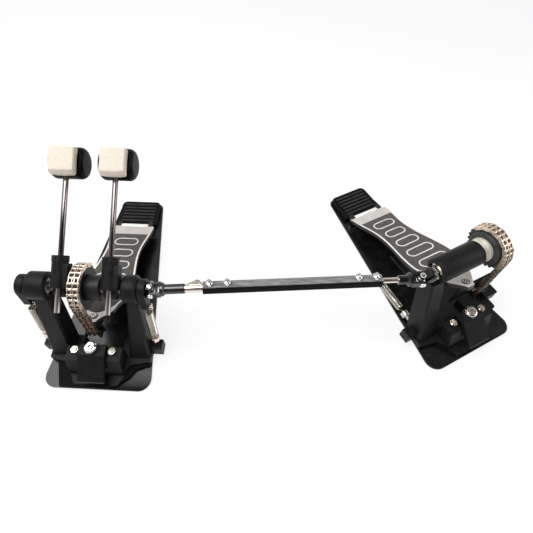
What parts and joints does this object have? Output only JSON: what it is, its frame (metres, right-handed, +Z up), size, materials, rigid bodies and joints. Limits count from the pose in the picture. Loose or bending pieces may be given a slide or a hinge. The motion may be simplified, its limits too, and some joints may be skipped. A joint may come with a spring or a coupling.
{
  "type": "double bass drum pedal",
  "caption": "Double bass drum pedal: chain driven main pedal with a pair of felt beaters, linked by a telescopic universal shaft to a second footboard on its own base.",
  "frame": {"origin": "on the floor under the middle of the main axle, at the underside of the main pedal's mat", "axes": "+X along the main axle towards the second pedal, +Y from the drum to the heel, +Z up"},
  "size_m": [0.7942, 0.4541, 0.2977],
  "materials": {
    "black_rubber": "matt ribbed mat",
    "black_plate": "satin black paint",
    "black_casting": "satin black powder coat on a cast light alloy",
    "black_tread": "satin black coated casting with ribs",
    "bright_nickel": "bright nickel or chrome plating",
    "bright_steel": "ground steel",
    "black_steel": "gloss black plating on steel",
    "dark_sprocket": "dark coated light alloy",
    "gold_chain": "pale gold plated roller chain",
    "black_plastic": "moulded plastic",
    "white_felt": "pressed felt",
    "cast_aluminium": "polished rim with a grey brown panel",
    "zinc_steel": "zinc plated steel"
  },
  "bodies": {
    "main_base": {"main_rubber_mat": "black_rubber", "main_base_plate": "black_plate", "main_frame": "black_casting", "main_frame_nuts": "bright_nickel", "main_bearings": "bright_steel", "main_heel_plate": "black_tread", "main_hinge_pin": "bright_nickel", "main_spring_bolts": "bright_nickel", "main_left_spring": "bright_nickel", "main_right_spring": "bright_nickel"},
    "main_clamp": {"main_clamp_jaw": "black_casting", "main_clamp_bolt": "bright_nickel"},
    "main_drive": {"main_axle": "bright_steel", "main_sprocket": "dark_sprocket", "main_chain_wrap": "gold_chain", "left_beater_hub": "black_casting", "left_rocker": "black_casting"},
    "left_beater": {"left_beater_rod": "bright_nickel", "left_beater_body": "black_plastic", "left_beater_felt": "white_felt"},
    "right_drive": {"right_beater_shaft": "bright_steel", "right_beater_hub": "black_casting", "right_rocker": "black_casting", "main_joint_fork": "black_steel", "main_joint_cross": "bright_nickel"},
    "right_beater": {"right_beater_rod": "bright_nickel", "right_beater_body": "black_plastic", "right_beater_felt": "white_felt"},
    "main_board": {"main_footboard": "cast_aluminium", "main_toe_screw": "bright_nickel", "main_hinge_knuckle": "zinc_steel", "main_chain_bracket": "zinc_steel", "main_chain_run": "gold_chain"},
    "link_outer": {"link_in_fork": "black_steel", "link_sleeve": "bright_nickel", "link_bar": "black_steel", "link_key_bolts": "bright_nickel"},
    "link_inner": {"link_rod": "bright_nickel", "link_out_fork": "black_steel"},
    "second_base": {"second_rubber_mat": "black_rubber", "second_base_plate": "black_plate", "second_frame": "black_casting", "second_frame_nuts": "bright_nickel", "second_bearings": "bright_steel", "second_heel_plate": "black_tread", "second_hinge_pin": "bright_nickel", "second_spring_bolt": "bright_nickel", "second_spring": "bright_nickel", "second_clamp_jaw": "black_casting"},
    "second_drive": {"second_axle": "bright_steel", "second_collar": "bright_steel", "second_sprocket": "dark_sprocket", "second_chain_wrap": "gold_chain", "second_joint_fork": "black_steel", "second_joint_cross": "bright_nickel"},
    "second_board": {"second_footboard": "cast_aluminium", "second_toe_screw": "bright_nickel", "second_hinge_knuckle": "zinc_steel", "second_chain_bracket": "zinc_steel", "second_chain_run": "gold_chain"}
  },
  "joints": [
    {"name": "main_board_press", "type": "hinge", "parent": "main_base", "child": "main_board", "pos_m": [0, 0.217, 0.016], "axis": [1, 0, 0], "range_deg": [0, 8.2], "stiffness_Nm_per_rad": 14, "springref_deg": -14.32, "deforming": ["main_chain_run"]},
    {"name": "main_axle_turn", "type": "hinge", "parent": "main_base", "child": "main_drive", "pos_m": [0, 0, 0.156], "axis": [1, 0, 0], "range_deg": [0, 62], "deforming": ["main_left_spring"]},
    {"name": "left_beater_height", "type": "slide", "parent": "main_drive", "child": "left_beater", "axis": [0, 0.8499, 0.527], "range_m": [-0.02, 0.012]},
    {"name": "second_board_press", "type": "hinge", "parent": "second_base", "child": "second_board", "pos_m": [0.4728, 0.27079, 0.016], "axis": [0.8746, 0.4848, 0], "range_deg": [0, 8.2], "stiffness_Nm_per_rad": 14, "springref_deg": -14.32, "deforming": ["second_chain_run"]},
    {"name": "right_shaft_turn", "type": "hinge", "parent": "main_base", "child": "right_drive", "pos_m": [0, 0, 0.156], "axis": [1, 0, 0], "range_deg": [0, 62], "deforming": ["main_right_spring"]},
    {"name": "right_beater_height", "type": "slide", "parent": "right_drive", "child": "right_beater", "axis": [0, 0.8499, 0.527], "range_m": [-0.02, 0.012]},
    {"name": "link_outer_turn", "type": "hinge", "parent": "main_base", "child": "link_outer", "pos_m": [0.1015, 0, 0.156], "axis": [0.9958, 0.0915, 0], "range_deg": [0, 62]},
    {"name": "link_inner_turn", "type": "hinge", "parent": "second_base", "child": "link_inner", "pos_m": [0.49754, 0.0364, 0.156], "axis": [0.9958, 0.0915, 0], "range_deg": [0, 62]},
    {"name": "second_axle_turn", "type": "hinge", "parent": "second_base", "child": "second_drive", "pos_m": [0.578, 0.081, 0.156], "axis": [0.8746, 0.4848, 0], "range_deg": [0, 62]},
    {"name": "link_length", "type": "slide", "parent": "main_base", "child": "second_base", "axis": [0.9958, 0.0915, 0], "range_m": [-0.006, 0.06]},
    {"name": "main_clamp_slide", "type": "slide", "parent": "main_base", "child": "main_clamp", "axis": [0, 0, 1], "range_m": [-0.008, 0.003]}
  ],
  "couplings": [
    {"joint": "main_axle_turn", "follows": "main_board_press", "ratio": 7.5},
    {"joint": "right_shaft_turn", "follows": "second_board_press", "ratio": 7.5},
    {"joint": "link_outer_turn", "follows": "second_board_press", "ratio": 7.5},
    {"joint": "link_inner_turn", "follows": "second_board_press", "ratio": 7.5},
    {"joint": "second_axle_turn", "follows": "second_board_press", "ratio": 7.5}
  ]
}
